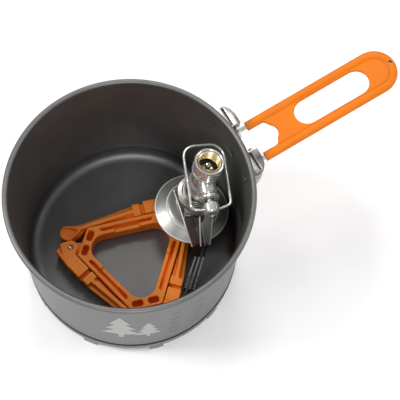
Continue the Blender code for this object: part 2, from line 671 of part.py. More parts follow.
def make_collar():
    """Ring on the mixing tube with an apron and lugs for the pot supports' pins."""
    low = COLLAR_LOW / MM
    edge = COLLAR_RADIUS / MM
    bore = TUBE_OUT / MM + 0.3
    profile = [(bore, low), (edge - 0.4, low), (edge, low + 0.4), (edge, low + 2.2), (edge - 0.6, low + 2.8),
               (9.4, low + 2.8), (9.2, low + 3.3), (9.2, low + 4.4), (8.8, low + 4.8), (bore, low + 4.8)]
    collar = add_object("support_collar", turned_ring(profile), steel())
    front = PIVOT_Y - EYE_RADIUS
    apron = [(-9.3 * MM, -7.6 * MM)] + arc((0.0, 0.0), 14.2 * MM, -131, -49, 9) + [(9.3 * MM, -7.6 * MM)]
    join(collar, cutter("collar_apron", prism(apron, COLLAR_LOW, COLLAR_LOW + 1.2 * MM)))
    for name, (centre, half) in SUPPORT_EYES.items():
        for side in (-1, 1):
            near = centre + side * (half + GAP)
            far = near + side * LUG_SHEET
            lug = box((min(near, far), front, PIVOT_HEIGHT - EYE_RADIUS),
                      (max(near, far), PIVOT_Y + EYE_RADIUS, COLLAR_LOW + 0.6 * MM))
            join(collar, cutter(f"collar_lug_{name}_{side}", lug))
    cut(collar, cutter("collar_pin_hole", pivot_bar(0.0, 12 * MM, PIVOT_PIN + GAP, 8)))
    place_burner_part(collar)


def make_support_pin(name, centre, half):
    pin = add_object(f"support_pin_{name}", pivot_bar(centre, half + GAP + LUG_SHEET, PIVOT_PIN, 8), steel())
    place_burner_part(pin)


def make_valve_body():
    """Body between mixing tube and socket, with a round boss for the spindle."""
    profile = [(0.0, 36.4), (7.4, 36.4), (7.8, 37.0), (7.8, 44.5), (6.6, 46.0), (6.6, 55.9), (6.0, 56.7),
               (0.0, 56.7)]
    body = add_object("valve_body", turned_solid(profile), steel())
    boss = arc((0.0, 0.0), 5.2 * MM, 0, 342, 19)
    aim = Matrix.Translation((0, 0, STEM_HEIGHT)) @ Matrix.Rotation(math.radians(90), 4, "X")
    join(body, cutter("valve_boss", moved(prism(boss, 2 * MM, 12.6 * MM), aim)))
    bore = bar((0, -4 * MM, STEM_HEIGHT), (0, -14 * MM, STEM_HEIGHT), 2.3 * MM, 12)
    jet_bore = bar((0, 0, 35 * MM), (0, 0, 41.3 * MM), 1.8 * MM, 12)
    cut(body, cutter("spindle_bore", bore), cutter("jet_bore", jet_bore))
    place_burner_part(body)


def make_jet():
    profile = [(0.0, 31.2), (0.9, 31.2), (1.5, 32.2), (1.5, 33.0), (3.0, 33.2), (3.0, 35.8), (1.5, 36.0),
               (1.5, 41.0), (0.0, 41.0)]
    jet = add_object("gas_jet", turned_solid(profile, 12), brass())
    place_burner_part(jet)


def make_gland_nut():
    profile = [(2.4, -2.2), (5.2, -2.2), (5.7, -1.7), (5.7, -0.4), (5.2, 0.0), (2.4, 0.0)]
    shape = turned_ring(profile, 20)
    aim = Matrix.Translation((0, -12.9 * MM, STEM_HEIGHT)) @ Matrix.Rotation(math.radians(-90), 4, "X")
    nut = add_object("gland_nut", moved(shape, aim), steel())
    place_burner_part(nut)


def make_spindle():
    """Needle, spindle and neck, turned by the knob."""
    profile = [(0.0, 0.0), (1.1, 1.6), (2.0, 2.4), (2.0, 12.9), (0.0, 12.9)]
    shape = turned_solid(profile, 12)
    aim = Matrix.Translation((0, -4.3 * MM, STEM_HEIGHT)) @ Matrix.Rotation(math.radians(90), 4, "X")
    spindle = add_object("valve_spindle", moved(shape, aim), brass())
    place_burner_part(spindle)


def make_knob():
    profile = [(0.0, 0.0), (3.9, 0.0), (4.4, 0.5), (4.4, 5.4), (3.9, 6.0), (0.0, 6.0)]
    shape = turned_solid(profile, 20)
    aim = Matrix.Translation((0, -17.5 * MM, STEM_HEIGHT)) @ Matrix.Rotation(math.radians(90), 4, "X")
    knob = add_object("valve_knob", moved(shape, aim), steel())
    hole = bar((-6 * MM, KNOB_CROSS, STEM_HEIGHT), (6 * MM, KNOB_CROSS, STEM_HEIGHT), 1.1 * MM, 10)
    cut(knob, cutter("knob_hole", hole))
    place_burner_part(knob)


def make_control_loop():
    """Wire bail folded back round the socket; its ends turn in the knob's cross hole."""
    route = [(-1.5, -20.6, 0.0), (-5.4, -20.6, 0.0), (-10.9, -19.6, 0.0), (-9.6, 17.8, 1.2), (13.5, 17.8, 1.2),
             (11.5, -18.7, 0.0), (5.4, -20.6, 0.0), (1.5, -20.6, 0.0)]
    bends = [0.0, 1.5 * MM, 3.2 * MM, 7.0 * MM, 7.6 * MM, 3.4 * MM, 1.5 * MM, 0.0]
    points = [Vector((x * MM, y * MM, STEM_HEIGHT + z * MM)) for x, y, z in route]
    wire = add_object("control_loop", sweep(rounded(points, bends, 5), LOOP_RADIUS, 6), steel())
    place_burner_part(wire)


def make_socket():
    """Cup at the valve's end that the canister's valve screws into."""
    outer = SOCKET_RADIUS / MM
    low = SOCKET_LOW / MM
    high = SOCKET_HIGH / MM
    profile = [(0.0, low), (6.4, low), (outer, low + 1.0), (outer, high - 0.5), (outer - 0.5, high), (6.8, high),
               (6.5, high - 0.3), (6.5, low + 1.4), (0.0, low + 1.4)]
    socket = add_object("canister_socket", turned_solid(profile, 28), steel())
    place_burner_part(socket)


def make_thread_liner():
    profile = [(6.2, 60.4), (6.2, 67.6), (5.65, 67.9), (5.55, 60.4)]
    liner = add_object("thread_liner", turned_ring(profile, 20), brass())
    place_burner_part(liner)


def make_socket_seal():
    profile = [(6.0, 58.8), (6.0, 59.6), (5.5, 60.1), (4.4, 60.1), (4.0, 59.6), (4.0, 58.8)]
    seal = add_object("socket_seal", turned_ring(profile, 16), seal_rubber())
    place_burner_part(seal)


def make_depressor():
    profile = [(0.0, 58.7), (3.0, 58.7), (3.0, 60.6), (2.4, 61.2), (1.5, 61.4), (1.4, 64.2), (1.1, 64.5),
               (0.45, 64.5), (0.45, 62.5), (0.0, 62.5)]
    pin = add_object("valve_depressor", turned_solid(profile, 12), brass())
    place_burner_part(pin)


def blade_corners(start, end):
    drop = Vector((0.0, 0.0, BLADE_HALF))
    return start - drop, end - drop, end + drop, start + drop


def make_pot_support(name):
    """Sheet arm from its pivot past the burner's rim, bent into a narrow blade."""
    arm, start, bend, tip = SUPPORT_SHAPES[name]
    support = add_object(f"pot_support_{name}", slab([Vector(corner) * MM for corner in arm], SUPPORT_SHEET),
                         steel(), smooth=20.0)
    start, bend, tip = (Vector(point) * MM for point in (start, bend, tip))
    centre, half = SUPPORT_EYES[name]
    pieces = [slab(blade_corners(start, bend), SUPPORT_SHEET), slab(blade_corners(bend, tip), SUPPORT_SHEET),
              pivot_bar(centre, half, EYE_RADIUS, 12)]
    join(support, *[cutter(f"support_{name}_part_{number}", shape) for number, shape in enumerate(pieces)])
    cut(support, cutter(f"support_{name}_hole", pivot_bar(centre, half + MM, PIVOT_PIN + GAP, 8)))
    place_burner_part(support)


def build():
    clear_scene()
    make_pot_shell()
    make_heat_exchanger()
    make_guard_ring()
    make_bracket()
    for name, (azimuth, height) in RIVETS.items():
        make_rivet(name, azimuth, height)
    make_handle_wire()
    make_handle_sleeve()
    make_hub()
    for index, name in enumerate(("a", "b", "c")):
        make_leg(index, name)
        make_leg_pin(index, name)
    make_burner_head()
    make_flame_disc()
    make_mixing_tube()
    make_collar()
    make_valve_body()
    make_jet()
    make_gland_nut()
    make_spindle()
    make_knob()
    make_control_loop()
    make_socket()
    make_thread_liner()
    make_socket_seal()
    make_depressor()
    for name, (centre, half) in SUPPORT_EYES.items():
        make_pot_support(name)
        make_support_pin(name, centre, half)


build()
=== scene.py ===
"""Looks of the nesting camp cook pot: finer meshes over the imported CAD, materials, light and camera.

Metres, in the CAD's frame: origin at the centre of the pot's bottom pad, +Z up, the handle along +X.
"""
import math

import bmesh
import bpy
from mathutils import Matrix, Vector


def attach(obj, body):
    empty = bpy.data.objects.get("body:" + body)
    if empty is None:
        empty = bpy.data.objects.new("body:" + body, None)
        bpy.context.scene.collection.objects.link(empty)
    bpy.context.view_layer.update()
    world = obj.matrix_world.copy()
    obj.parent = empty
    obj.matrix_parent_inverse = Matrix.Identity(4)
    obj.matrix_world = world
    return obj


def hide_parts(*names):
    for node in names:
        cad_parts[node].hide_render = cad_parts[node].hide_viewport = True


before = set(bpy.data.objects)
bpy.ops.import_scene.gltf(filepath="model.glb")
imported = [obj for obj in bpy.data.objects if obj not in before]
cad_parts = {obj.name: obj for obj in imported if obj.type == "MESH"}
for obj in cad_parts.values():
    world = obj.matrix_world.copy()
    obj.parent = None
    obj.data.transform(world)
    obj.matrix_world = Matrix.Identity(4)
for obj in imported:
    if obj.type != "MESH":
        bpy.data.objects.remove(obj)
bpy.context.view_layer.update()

MM = 0.001

# Pot
WALL_OUT = 62.7 * MM
WALL_IN = 61.8 * MM
RIM_BEAD = 1.5 * MM
RIM_CENTRE = 63.5 * MM
RIM_HEIGHT = 86.9 * MM
FLOOR_TOP = 1.4 * MM
PAD_RADIUS = 14.0 * MM
CORNER_OUT = 7.6 * MM
CORNER_IN = 6.6 * MM
GROUND = -6.8 * MM
FIN_FOLDS = 40
GUARD_OUT = 63.25 * MM
GUARD_IN = 62.6 * MM
GUARD_LOW = -0.8 * MM
GUARD_HIGH = 5.2 * MM
TAB_COUNT = 10
TAB_FIRST = 3.0                     # degrees
TAB_HALF = 3.75                     # degrees
FIN_BAND = (38 * MM, 52 * MM)       # where the fins show through the floor
RIVET_HOLE = 1.8 * MM

# Handle
HINGE = Vector((68.3, 0.0, 81.2)) * MM
HANDLE_RISE = math.radians(12.5)
CRANK = 12.9 * MM
WIRE_RADIUS = 1.25 * MM
ARM_HALF = 6.6 * MM
WIRE_HALF = 10.4 * MM
PIN_END = 17.3 * MM
SLEEVE_START = 6.3 * MM
SLEEVE_LENGTH = 76.2 * MM
SLEEVE_TIP = SLEEVE_START + SLEEVE_LENGTH
SPREAD_END = 1.4 * MM
RAIL_RADIUS = 2.7 * MM
PLATE_OUT = 64.1 * MM
RIVETS = (
    # azimuth in degrees, height, CAD node
    (17.5, 75.9 * MM, "rivet_upper"),
    (0.0, 71.3 * MM, "rivet_middle"),
    (-17.5, 75.9 * MM, "rivet_lower"),
)

# Stabiliser
HUB_CENTRE = Vector((-4.3, -10.0, 0.0)) * MM
HUB_TURN = math.radians(135.8)
HUB_LOW = 1.8 * MM
HUB_HIGH = 12.7 * MM
HUB_SIDE = 23.8 * MM
HUB_OPEN = 17.5 * MM
HUB_CORNER = 32.0 * MM
LEG_PIN = Vector((37.6, 5.4, 0.0)) * MM
LEG_LENGTH = 65.0 * MM
LEG_LOW = 4.4 * MM
LEG_WEB = 9.6 * MM
LUG_LOW = 4.8 * MM
LUG_HIGH = 9.6 * MM

# Burner, in its own frame
BURNER_SEAT = Vector((37.99, -1.83, 13.4)) * MM
BURNER_LEAN = math.radians(6.4)
BURNER_LEAN_TO = math.radians(-6.7)
BURNER_TURN = math.radians(-19.0)
STEM_HEIGHT = 51.6 * MM
PIVOT_Y = -11.3 * MM
PIVOT_HEIGHT = 24.4 * MM
PIVOT_HOLE = 1.0 * MM
PIN_OVERHANG = 1.1                  # how far a support's pin runs past its eye, in mm
KNOB_START = -17.5                  # along the valve's stem, in mm
SHEET_THICKNESS = 0.9 * MM
SUPPORT_EYES = {
    # middle of the eye along the pivot line and half its length, in mm
    "left": (-6.0, 2.2), "middle": (-0.7, 0.45), "right": (5.0, 2.7),
}

# Camera, at the distance and angle that the object is shown from
CAMERA_PLACE = Vector((-0.06846, -0.14682, 0.46928))
CAMERA_AIM = Vector((0.23463, 0.30273, -0.92374))
CAMERA_UP = Vector((0.43236, 0.81861, 0.37809))
CAMERA_LENS = 72.8


# ---------------------------------------------------------------- mesh helpers

def arc(centre, radius, start, end, steps):
    """Points on an arc in the plane, angles in degrees."""
    points = []
    for step in range(steps + 1):
        angle = math.radians(start + (end - start) * step / steps)
        points.append((centre[0] + radius * math.cos(angle), centre[1] + radius * math.sin(angle)))
    return points


def rounded(points, radii, steps=6, closed=False):
    """Replace the corners of a path with arcs, of one radius or of one for each corner."""
    points = [Vector(point) for point in points]
    count = len(points)
    if isinstance(radii, float):
        radii = [radii] * count
    result = []
    for index, corner in enumerate(points):
        if not closed and index in (0, count - 1):
            result.append(corner)
            continue
        back = (points[index - 1] - corner).normalized()
        ahead = (points[(index + 1) % count] - corner).normalized()
        half = back.angle(ahead) / 2
        if half > math.radians(89.0) or radii[index] <= 0.0:
            result.append(corner)
            continue
        reach = radii[index] / math.tan(half)
        centre = corner + (back + ahead).normalized() * radii[index] / math.sin(half)
        start = corner + back * reach - centre
        end = corner + ahead * reach - centre
        turn = start.angle(end)
        for step in range(steps + 1):
            part = step / steps
            blend = start * math.sin((1 - part) * turn) + end * math.sin(part * turn)
            result.append(centre + blend / math.sin(turn))
    return result


def soft(points, radius, steps=3, closed=False):
    """Round the corners of a flat profile, given and returned as pairs."""
    path = rounded([(x, y, 0.0) for x, y in points], radius, steps, closed)
    return [(point.x, point.y) for point in path]


def lathe(profile, steps=96, closed=False):
    """Turn (radius, height) points about Z; open profiles start and end on the axis."""
    shape = bmesh.new()
    rings = []
    for radius, height in profile:
        if radius < 1e-7:
            rings.append([shape.verts.new((0.0, 0.0, height))])
            continue
        ring = []
        for step in range(steps):
            angle = math.tau * step / steps
            ring.append(shape.verts.new((radius * math.cos(angle), radius * math.sin(angle), height)))
        rings.append(ring)
    pairs = list(zip(rings, rings[1:]))
    if closed:
        pairs.append((rings[-1], rings[0]))
    for low, high in pairs:
        for step in range(steps):
            after = (step + 1) % steps
            corners = [low[step % len(low)], low[after % len(low)],
                       high[after % len(high)], high[step % len(high)]]
            shape.faces.new(list(dict.fromkeys(corners)))
    return shape


def turned(points, steps=96, closed=False):
    """A lathe from (radius, height) points in millimetres."""
    return lathe([(r * MM, z * MM) for r, z in points], steps, closed)


def prism(outline, low, high):
    shape = bmesh.new()
    base = [shape.verts.new((x, y, low)) for x, y in outline]
    top = [shape.verts.new((x, y, high)) for x, y in outline]
    shape.faces.new(base)
    shape.faces.new(top)
    for index in range(len(base)):
        after = (index + 1) % len(base)
        shape.faces.new((base[index], base[after], top[after], top[index]))
    return shape


def box(low, high):
    outline = ((low[0], low[1]), (high[0], low[1]), (high[0], high[1]), (low[0], high[1]))
    return prism(outline, low[2], high[2])


def slab(corners, thickness):
    """A flat plate over an outline in space, half its thickness to each side."""
    shape = bmesh.new()
    corners = [Vector(corner) for corner in corners]
    normal = (corners[1] - corners[0]).cross(corners[3] - corners[0]).normalized()
    offset = normal * thickness / 2
    near = [shape.verts.new(corner - offset) for corner in corners]
    far = [shape.verts.new(corner + offset) for corner in corners]
    shape.faces.new(near)
    shape.faces.new(far)
    for index in range(len(near)):
        after = (index + 1) % len(near)
        shape.faces.new((near[index], near[after], far[after], far[index]))
    return shape


def sweep(path, radius, sides=20):
    """A round bar along a path in space, with flat ends."""
    shape = bmesh.new()
    path = [Vector(point) for point in path]
    side = None
    rings = []
    for index, point in enumerate(path):
        before = path[max(index - 1, 0)]
        after = path[min(index + 1, len(path) - 1)]
        along = ((after - point).normalized() + (point - before).normalized()).normalized()
        if side is None:
            side = along.orthogonal().normalized()
        side = (side - along * side.dot(along)).normalized()
        other = along.cross(side)
        ring = []
        for step in range(sides):
            angle = math.tau * (step + 0.5) / sides
            out = side * math.cos(angle) + other * math.sin(angle)
            ring.append(shape.verts.new(point + out * radius))
        rings.append(ring)
    for low, high in zip(rings, rings[1:]):
        for step in range(sides):
            after = (step + 1) % sides
            shape.faces.new((low[step], low[after], high[after], high[step]))
    shape.faces.new(rings[0])
    shape.faces.new(rings[-1])
    return shape


def bar(start, end, radius, sides=32):
    return sweep((start, end), radius, sides)


def moved(shape, matrix):
    bmesh.ops.transform(shape, matrix=matrix, verts=shape.verts)
    return shape


def mesh_object(name, shape):
    bmesh.ops.recalc_face_normals(shape, faces=shape.faces)
    mesh = bpy.data.meshes.new(name)
    shape.to_mesh(mesh)
    shape.free()
    result = bpy.data.objects.new(name, mesh)
    bpy.context.scene.collection.objects.link(result)
    return result


def boolean(target, tools, operation, scrap):
    for tool in tools:
        guide = mesh_object("guide", tool)
        scrap.append(guide)
        step = target.modifiers.new(operation, "BOOLEAN")
        step.operation = operation
        step.solver = "EXACT"
        step.object = guide


def settle(target, scrap):
    """Apply every modifier and remove the guides that fed them."""
    bpy.context.view_layer.update()
    graph = bpy.context.evaluated_depsgraph_get()
    fresh = bpy.data.meshes.new_from_object(target.evaluated_get(graph))
    target.modifiers.clear()
    target.data = fresh
    for guide in scrap:
        bpy.data.objects.remove(guide, do_unlink=True)


def build(name, shape, adds=(), cuts=(), bevel=0.0, voxel=0.0, melt=0, place=None):
    """A finished mesh: unions, cuts, then either bevelled edges or a moulded, rounded skin."""
    target = mesh_object(name, shape)
    scrap = []
    boolean(target, adds, "UNION", scrap)
    boolean(target, cuts, "DIFFERENCE", scrap)
    if voxel:
        skin = target.modifiers.new("Skin", "REMESH")
        skin.mode = "VOXEL"
        skin.voxel_size = voxel
        skin.adaptivity = 0.0
        relax = target.modifiers.new("Relax", "SMOOTH")
        relax.factor = 0.5
        relax.iterations = melt
        thin = target.modifiers.new("Thin", "DECIMATE")
        thin.ratio = 0.4
    if bevel:
        edges = target.modifiers.new("Edges", "BEVEL")
        edges.width = bevel
        edges.segments = 2
        edges.limit_method = "ANGLE"
        edges.angle_limit = math.radians(35)
    settle(target, scrap)
    if place is not None:
        target.data.transform(place)
    target.data.shade_smooth()
    if not voxel:
        target.data.set_sharp_from_angle(angle=math.radians(32))
    return target


def dress(target, body, finish, slot, *nodes):
    """Give a piece its material and its body, and hide the CAD nodes it stands for; slot is not used."""
    target.data.materials.clear()
    target.data.materials.append(finish)
    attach(target, body)
    if nodes:
        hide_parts(*nodes)
    return target


# ---------------------------------------------------------------- materials

def new_finish(name, metallic, gloss=0.5):
    finish = bpy.data.materials.new(name)
    finish.use_nodes = True
    shader = finish.node_tree.nodes["Principled BSDF"]
    shader.inputs["Metallic"].default_value = metallic
    shader.inputs["Specular IOR Level"].default_value = gloss
    return finish


def mottled(name, dark, light, rough_low, rough_high, metallic, scale, grain, grain_depth, sheen=0.5):
    """A surface whose colour and gloss drift between two values, with a fine grain."""
    finish = new_finish(name, metallic, sheen)
    nodes = finish.node_tree.nodes
    links = finish.node_tree.links
    shader = nodes["Principled BSDF"]
    coordinates = nodes.new("ShaderNodeTexCoord")
    drift = nodes.new("ShaderNodeTexNoise")
    drift.inputs["Scale"].default_value = scale
    drift.inputs["Detail"].default_value = 4.0
    ramp = nodes.new("ShaderNodeValToRGB")
    ramp.color_ramp.elements[0].position = 0.3
    ramp.color_ramp.elements[0].color = (*dark, 1.0)
    ramp.color_ramp.elements[1].position = 0.7
    ramp.color_ramp.elements[1].color = (*light, 1.0)
    gloss = nodes.new("ShaderNodeMapRange")
    gloss.inputs["To Min"].default_value = rough_low
    gloss.inputs["To Max"].default_value = rough_high
    fine = nodes.new("ShaderNodeTexNoise")
    fine.inputs["Scale"].default_value = grain
    fine.inputs["Detail"].default_value = 2.0
    bump = nodes.new("ShaderNodeBump")
    bump.inputs["Strength"].default_value = 0.35
    bump.inputs["Distance"].default_value = grain_depth
    links.new(coordinates.outputs["Object"], drift.inputs["Vector"])
    links.new(coordinates.outputs["Object"], fine.inputs["Vector"])
    links.new(drift.outputs["Fac"], ramp.inputs["Fac"])
    links.new(ramp.outputs["Color"], shader.inputs["Base Color"])
    links.new(drift.outputs["Fac"], gloss.inputs["Value"])
    links.new(gloss.outputs["Result"], shader.inputs["Roughness"])
    links.new(fine.outputs["Fac"], bump.inputs["Height"])
    links.new(bump.outputs["Normal"], shader.inputs["Normal"])
    return finish


def paint_highlight_on_upper_faces(finish, highlight_colour):
    """Paint a highlight: a lighter colour where a face of the piece itself looks up, standing in for light
    from above.
    """
    nodes = finish.node_tree.nodes
    links = finish.node_tree.links
    shader = nodes["Principled BSDF"]
    colour = shader.inputs["Base Color"].links[0].from_socket
    coordinates = nodes.new("ShaderNodeTexCoord")
    split = nodes.new("ShaderNodeSeparateXYZ")
    # painted highlight mask: how far the face looks up
    edge = nodes.new("ShaderNodeMapRange")
    edge.inputs["From Min"].default_value = 0.62
    edge.inputs["From Max"].default_value = 0.86
    mix = nodes.new("ShaderNodeMix")
    mix.data_type = "RGBA"
    mix.inputs[7].default_value = (*highlight_colour, 1.0)
    links.new(coordinates.outputs["Normal"], split.inputs["Vector"])
    links.new(split.outputs["Z"], edge.inputs["Value"])
    links.new(edge.outputs["Result"], mix.inputs[0])
    links.new(colour, mix.inputs[6])
    links.new(mix.outputs[2], shader.inputs["Base Color"])


ANODISED = mottled("hard_anodised", (0.150, 0.149, 0.147), (0.182, 0.180, 0.177),
                   0.42, 0.52, 0.85, 60, 5200, 0.02 * MM)
ANODISED_EDGE = mottled("hard_anodised_rim", (0.16, 0.16, 0.16), (0.19, 0.19, 0.19),
                        0.36, 0.46, 0.85, 60, 5200, 0.01 * MM)
PRINT_PALE = mottled("pale_print", (0.36, 0.36, 0.35), (0.42, 0.42, 0.41),
                     0.5, 0.6, 0.2, 300, 6000, 0.01 * MM)
PRINT_DARK = mottled("dark_print", (0.045, 0.045, 0.045), (0.06, 0.06, 0.06),
                     0.5, 0.6, 0.2, 300, 6000, 0.01 * MM)
BARE = mottled("bare_aluminium", (0.50, 0.50, 0.49), (0.62, 0.62, 0.60),
               0.32, 0.5, 1.0, 90, 3000, 0.02 * MM)
POLISHED = mottled("polished_steel", (0.54, 0.53, 0.50), (0.66, 0.65, 0.61),
                   0.10, 0.2, 1.0, 120, 5000, 0.004 * MM)
SATIN = mottled("satin_steel", (0.55, 0.54, 0.51), (0.66, 0.65, 0.62),
                0.26, 0.38, 1.0, 120, 4000, 0.01 * MM)
CAST = mottled("cast_steel", (0.17, 0.165, 0.155), (0.42, 0.41, 0.38),
               0.22, 0.40, 1.0, 260, 2600, 0.03 * MM)
# painted shade: a darkened copy of the support arms' sheet steel
SHADED_SHEET = mottled("shaded_sheet_steel", (0.15, 0.15, 0.15), (0.22, 0.22, 0.22),
                0.30, 0.42, 0.8, 160, 4000, 0.01 * MM)
BRUSHED = mottled("brushed_steel", (0.36, 0.355, 0.335), (0.46, 0.455, 0.43),
                  0.32, 0.44, 0.7, 140, 4200, 0.01 * MM)
BRIGHT = mottled("bright_steel", (0.62, 0.61, 0.58), (0.74, 0.73, 0.69),
                 0.14, 0.24, 0.74, 120, 5000, 0.004 * MM)
# painted highlight: near-white steel for thin rings and strips that stand in for light caught on edges
HIGHLIGHT_STEEL = mottled("painted_highlight_steel", (0.80, 0.79, 0.76), (0.90, 0.89, 0.86),
                     0.28, 0.38, 0.3, 120, 5000, 0.004 * MM)
# painted light: a lightened copy of the same sheet steel
LIT_SHEET = mottled("lit_sheet_steel", (0.42, 0.42, 0.40), (0.52, 0.52, 0.50),
                     0.30, 0.42, 0.5, 160, 4000, 0.01 * MM)
BLACKED = mottled("blackened_steel", (0.012, 0.012, 0.012), (0.03, 0.03, 0.03),
                  0.25, 0.42, 0.6, 200, 3500, 0.01 * MM)
# painted highlight: the blades' upward-facing faces and bevels get a lighter colour
paint_highlight_on_upper_faces(BLACKED, (0.30, 0.30, 0.29))
BRASS = mottled("brass", (0.80, 0.63, 0.34), (0.90, 0.74, 0.46),
                0.20, 0.32, 0.85, 150, 4000, 0.006 * MM)
SILICONE = mottled("orange_silicone", (0.64, 0.150, 0.003), (0.72, 0.180, 0.005),
                   0.42, 0.55, 0.0, 45, 3800, 0.02 * MM, 0.22)
NYLON = mottled("orange_nylon", (0.86, 0.205, 0.008), (0.98, 0.270, 0.014),
                0.34, 0.48, 0.0, 70, 2600, 0.03 * MM, 0.35)
SEAL = mottled("black_rubber", (0.012, 0.012, 0.012), (0.022, 0.022, 0.022),
               0.5, 0.7, 0.0, 200, 3000, 0.02 * MM)


# ---------------------------------------------------------------- pot

def pot_profile():
    corner = (WALL_OUT - CORNER_OUT, 0.3 * MM + CORNER_OUT)
    hollow = (WALL_IN - CORNER_IN, FLOOR_TOP + CORNER_IN)
    profile = [(0.0, 0.0), (PAD_RADIUS, 0.0), (PAD_RADIUS + 0.4 * MM, 0.3 * MM)]
    profile += arc(corner, CORNER_OUT, -90, 0, 14)
    profile += [(WALL_OUT, RIM_HEIGHT - 4 * MM), (WALL_OUT, RIM_HEIGHT - 1.9 * MM)]
    profile += arc((RIM_CENTRE, RIM_HEIGHT), RIM_BEAD, -95, 180, 26)
    profile += [(WALL_IN + 0.05 * MM, RIM_HEIGHT - 0.9 * MM), (WALL_IN, RIM_HEIGHT - 1.8 * MM)]
    profile += [(WALL_IN, height * MM) for height in (70, 50, 30, 14, 11.3)]
    profile += [(WALL_IN - 0.22 * MM, 10.9 * MM), (WALL_IN - 0.22 * MM, 10.4 * MM), (WALL_IN, 10.0 * MM)]
    profile += arc(hollow, CORNER_IN, 0, -90, 16)
    profile += [(radius * MM, FLOOR_TOP) for radius in (53.5, 51, 48, 45, 42, 39, 36, 30, 20, 10)]
    return profile + [(0.0, FLOOR_TOP)]


def rivet_holes(near, far):
    """Cutters for the three rivets, between two radii in millimetres."""
    holes = []
    for azimuth, height, _ in RIVETS:
        outward = Vector((math.cos(math.radians(azimuth)), math.sin(math.radians(azimuth)), 0.0))
        rise = Vector((0.0, 0.0, height))
        holes.append(bar(outward * near * MM + rise, outward * far * MM + rise, RIVET_HOLE, 24))
    return holes


def pot_shell():
    """The drawn pot; its floor shows where the fins were pressed to the underside."""
    shape = lathe(pot_profile(), 240)
    for vertex in shape.verts:
        reach = math.hypot(vertex.co.x, vertex.co.y)
        on_floor = FLOOR_TOP - 0.1 * MM < vertex.co.z < 2 * MM
        if on_floor and FIN_BAND[0] < reach < FIN_BAND[1]:
            fold = math.cos(FIN_FOLDS * math.atan2(vertex.co.y, vertex.co.x))
            fade = math.sin(math.pi * (reach - FIN_BAND[0]) / (14 * MM))
            vertex.co.z -= 0.11 * MM * fade * max(0.0, fold) ** 2
    pot = build("pot_shell_fine", shape, cuts=rivet_holes(58, 68))
    dress(pot, "pot", ANODISED, "hard_anodised_aluminium", "pot_shell")


def guard_ring():
    """The band at the pot's foot; its tabs are bent at their edges and stand on the ground."""
    section = soft([(GUARD_OUT, GUARD_HIGH), (GUARD_OUT, GUARD_LOW), (59.2 * MM, GUARD_LOW), (59.2 * MM, 0.0),
                    (GUARD_IN, 0.0), (GUARD_IN, GUARD_HIGH)], 0.25 * MM, 2, closed=True)
    tabs = []
    for tab in range(TAB_COUNT):
        middle = TAB_FIRST + 360.0 * tab / TAB_COUNT
        outer = arc((0.0, 0.0), GUARD_OUT, middle - TAB_HALF, middle + TAB_HALF, 8)
        inner = arc((0.0, 0.0), GUARD_IN, middle + TAB_HALF, middle - TAB_HALF, 8)
        tabs.append(prism(outer + inner, GROUND, 0.4 * MM))
    ring = build("guard_ring_fine", lathe(section, 240, closed=True), adds=tabs, bevel=0.12 * MM)
    dress(ring, "pot", ANODISED_EDGE, "hard_anodised_aluminium", "guard_ring")


def wall_patch(name, azimuth, low, high, low_half, high_half, finish, proud=0.06 * MM):
    """A thin raised print on the outer wall: a strip that narrows from its foot to its top."""
    shape = bmesh.new()
    sheets = []
    for radius in (WALL_OUT - 0.05 * MM, WALL_OUT + proud):
        grid = []
        for row in range(7):
            half = low_half + (high_half - low_half) * row / 6
            height = low + (high - low) * row / 6
            angles = [math.radians(azimuth + half * (column / 5 - 1)) for column in range(11)]
            grid.append([shape.verts.new((radius * math.cos(angle), radius * math.sin(angle), height))
                         for angle in angles])
        sheets.append(grid)
    for grid in sheets:
        for row in range(6):
            for column in range(10):
                shape.faces.new((grid[row][column], grid[row][column + 1], grid[row + 1][column + 1],
                                 grid[row + 1][column]))
    edge = [(0, column) for column in range(11)] + [(row, 10) for row in range(1, 7)]
    edge += [(6, column) for column in range(9, -1, -1)] + [(row, 0) for row in range(5, 0, -1)]
    for (row, column), (next_row, next_column) in zip(edge, edge[1:] + edge[:1]):
        shape.faces.new((sheets[0][row][column], sheets[0][next_row][next_column],
                         sheets[1][next_row][next_column], sheets[1][row][column]))
    dress(build(name, shape), "pot", finish, "hard_anodised_aluminium")


def fir_tree(name, azimuth, foot, height):
    """A generic fir: three stacked wedges and a stem."""
    width = math.degrees(height / WALL_OUT * 0.26)
    for layer in range(3):
        low = foot + height * (0.16 + 0.25 * layer)
        wide = width * (1.0 - 0.24 * layer)
        proud = (0.05 + 0.02 * layer) * MM
        wall_patch(f"{name}_layer_{layer}", azimuth, low, low + height * 0.34, wide, wide * 0.06,
                   PRINT_PALE, proud)
    stem = width * 0.13
    wall_patch(f"{name}_stem", azimuth, foot, foot + height * 0.17, stem, stem, PRINT_PALE, 0.04 * MM)


def wall_prints():
    fir_tree("print_fir_large", -123.0, 27 * MM, 42 * MM)
    fir_tree("print_fir_small", -109.5, 27 * MM, 29 * MM)
    for column, azimuth in enumerate((-96.0, -83.0)):
        for row in range(5):
            height = (22 + 9.5 * row) * MM
            half = 3.0 if (row + column) % 2 else 1.9
            wall_patch(f"print_mark_{column}_{row}", azimuth, height, height + 0.7 * MM, half, half,
                       PRINT_DARK, 0.05 * MM)


def rivets():
    for azimuth, height, node in RIVETS:
        inner = (WALL_IN - 0.3 * MM) / MM
        outer = (PLATE_OUT + 0.3 * MM) / MM
        dome = soft([(0.01, inner - 0.5), (1.7, inner - 0.5), (2.5, inner - 0.05)], 0.4, 4)
        profile = [(0.0, inner - 0.5)] + dome
        profile += [(2.45, inner), (1.5, inner), (1.5, outer), (2.45, outer), (2.5, outer + 0.05),
                    (1.7, outer + 0.5), (0.0, outer + 0.5)]
        turn = Matrix.Rotation(math.radians(azimuth), 4, "Z") @ Matrix.Rotation(math.radians(90), 4, "Y")
        rivet = build(f"{node}_fine", turned(profile, 48), place=Matrix.Translation((0, 0, height)) @ turn)
        dress(rivet, "pot", ANODISED_EDGE, "hard_anodised_aluminium", node)


